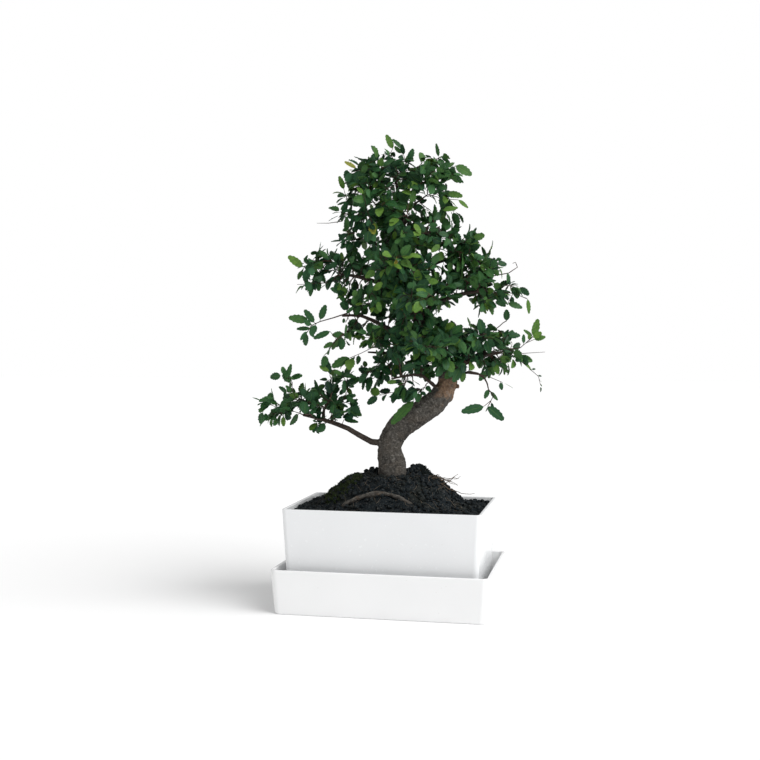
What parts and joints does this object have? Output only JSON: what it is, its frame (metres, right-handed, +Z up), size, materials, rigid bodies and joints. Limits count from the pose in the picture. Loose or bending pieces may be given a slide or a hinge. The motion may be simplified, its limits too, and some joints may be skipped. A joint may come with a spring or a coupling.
{
  "type": "bonsai tree in a pot",
  "caption": "Small elm-like bonsai with an S-shaped trunk and leafy shoots, growing from a mound of soil in a white rectangular pot that stands in a deep white tray.",
  "frame": {"origin": "centre of the tray's flat underside, which is the face the object rests on", "axes": "+Z up, along the tree; the pot's long front faces -Y, with +X to the right of it; the tree's best side is turned 12 degrees from the pot's front, towards +X"},
  "size_m": [0.3019, 0.2032, 0.4878],
  "materials": {
    "white_tray": "satin",
    "white_glaze": "satin",
    "dark_soil": "matte",
    "dark_moss": "matte",
    "elm_bark": "matte",
    "dry_root": "matte",
    "leaf_green_1": "satin",
    "leaf_green_2": "satin",
    "leaf_green_3": "satin"
  },
  "bodies": {
    "root": {"dry_root": "dry_root", "moss_back": "dark_moss", "moss_left": "dark_moss", "moss_right": "dark_moss", "pot": "white_glaze", "shoot_crown_1": "leaf_green_1", "shoot_high_back_1": "leaf_green_2", "shoot_high_left_1": "leaf_green_3", "shoot_high_left_2": "leaf_green_1", "shoot_high_right_1": "leaf_green_2", "shoot_high_right_2": "leaf_green_3", "shoot_inner_left_1": "leaf_green_1", "shoot_low_back_1": "leaf_green_2", "shoot_low_back_2": "leaf_green_3", "shoot_low_front_1": "leaf_green_1", "shoot_low_front_2": "leaf_green_2", "shoot_lower_left_1": "leaf_green_3", "shoot_lower_left_2": "leaf_green_1", "shoot_lower_left_3": "leaf_green_2", "shoot_lower_left_back_1": "leaf_green_3", "shoot_lower_left_back_2": "leaf_green_1", "shoot_lower_left_front_1": "leaf_green_2", "shoot_lower_left_rise_1": "leaf_green_3", "shoot_lower_left_rise_2": "leaf_green_1", "shoot_lower_right_1": "leaf_green_2", "shoot_lower_right_2": "leaf_green_3", "shoot_lower_right_3": "leaf_green_1", "shoot_lower_right_rise_1": "leaf_green_2", "shoot_lower_right_rise_2": "leaf_green_3", "shoot_middle_back_1": "leaf_green_1", "shoot_middle_back_2": "leaf_green_2", "shoot_middle_front_1": "leaf_green_3", "shoot_middle_front_2": "leaf_green_1", "shoot_middle_left_1": "leaf_green_2", "shoot_middle_left_2": "leaf_green_3", "shoot_middle_left_3": "leaf_green_1", "shoot_middle_left_low_1": "leaf_green_2", "shoot_middle_left_low_2": "leaf_green_3", "shoot_middle_right_1": "leaf_green_1", "shoot_middle_right_2": "leaf_green_2", "shoot_middle_right_3": "leaf_green_3", "shoot_right_drooping_1": "leaf_green_1", "shoot_top_back_1": "leaf_green_2", "shoot_top_front_1": "leaf_green_3", "shoot_top_left_1": "leaf_green_1", "shoot_top_left_2": "leaf_green_2", "shoot_top_right_1": "leaf_green_3", "shoot_top_right_2": "leaf_green_1", "shoot_upper_front_1": "leaf_green_2", "shoot_upper_left_1": "leaf_green_3", "shoot_upper_left_2": "leaf_green_1", "shoot_upper_left_3": "leaf_green_2", "shoot_upper_right_1": "leaf_green_3", "shoot_upper_right_2": "leaf_green_1", "shoot_upper_right_3": "leaf_green_2", "soil": "dark_soil", "tray": "white_tray", "trunk_and_branches": "elm_bark"}
  },
  "joints": []
}
